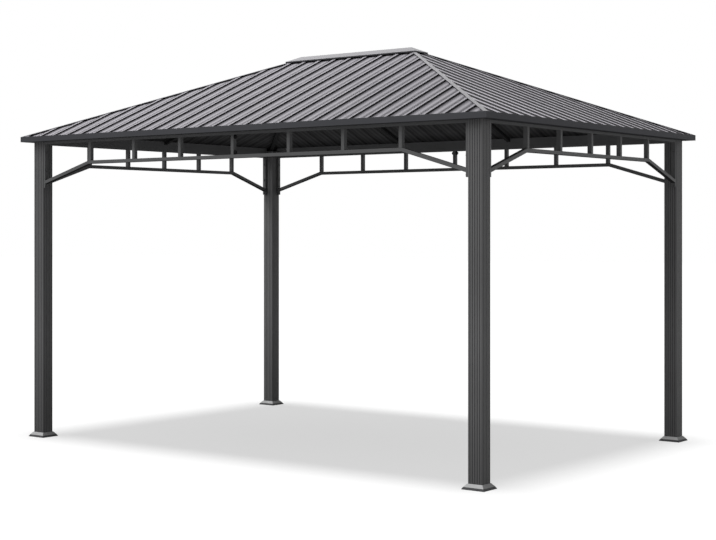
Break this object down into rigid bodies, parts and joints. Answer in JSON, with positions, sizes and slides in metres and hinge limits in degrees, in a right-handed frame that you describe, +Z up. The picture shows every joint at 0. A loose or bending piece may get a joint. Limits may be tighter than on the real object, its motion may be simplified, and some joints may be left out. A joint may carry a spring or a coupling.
{
  "type": "garden gazebo",
  "caption": "Open garden gazebo with fluted square posts on flared feet, bent truss frames and a hipped ribbed metal roof under a ridge cap.",
  "frame": {"origin": "centre of the footprint on the floor", "axes": "+X along the long side, to the right as seen from the front; +Y to the back; +Z up"},
  "size_m": [4, 3, 2.8659],
  "materials": {
    "post_aluminium": "fine textured powder coat, anthracite",
    "truss_steel": "satin powder coat, anthracite",
    "rafter_steel": "satin powder coat, anthracite",
    "edge_trim": "satin powder coat, anthracite",
    "roof_sheet": "satin coil-coated steel, graphite grey",
    "roof_cap": "satin coil-coated steel, graphite grey",
    "foot_cover": "satin powder coat, grey",
    "base_steel": "galvanised"
  },
  "bodies": {
    "root": {"post_front_left": "post_aluminium", "post_front_right": "post_aluminium", "post_back_left": "post_aluminium", "post_back_right": "post_aluminium", "base_plate_front_left": "base_steel", "base_plate_front_right": "base_steel", "base_plate_back_left": "base_steel", "base_plate_back_right": "base_steel", "foot_cover_front_left": "foot_cover", "foot_cover_front_right": "foot_cover", "foot_cover_back_left": "foot_cover", "foot_cover_back_right": "foot_cover", "front_eave_beam": "truss_steel", "back_eave_beam": "truss_steel", "left_eave_beam": "truss_steel", "right_eave_beam": "truss_steel", "front_lower_chord": "truss_steel", "back_lower_chord": "truss_steel", "left_lower_chord": "truss_steel", "right_lower_chord": "truss_steel", "front_braces": "truss_steel", "back_braces": "truss_steel", "left_braces": "truss_steel", "right_braces": "truss_steel", "front_struts": "truss_steel", "back_struts": "truss_steel", "left_struts": "truss_steel", "right_struts": "truss_steel", "end_stiles": "truss_steel", "hip_rafters": "rafter_steel", "slope_rafters": "rafter_steel", "ridge_beam": "rafter_steel", "front_roof_sheet": "roof_sheet", "back_roof_sheet": "roof_sheet", "left_roof_sheet": "roof_sheet", "right_roof_sheet": "roof_sheet", "front_fascia": "edge_trim", "back_fascia": "edge_trim", "left_fascia": "edge_trim", "right_fascia": "edge_trim", "hip_caps": "roof_cap", "ridge_cap": "roof_cap"}
  },
  "joints": []
}
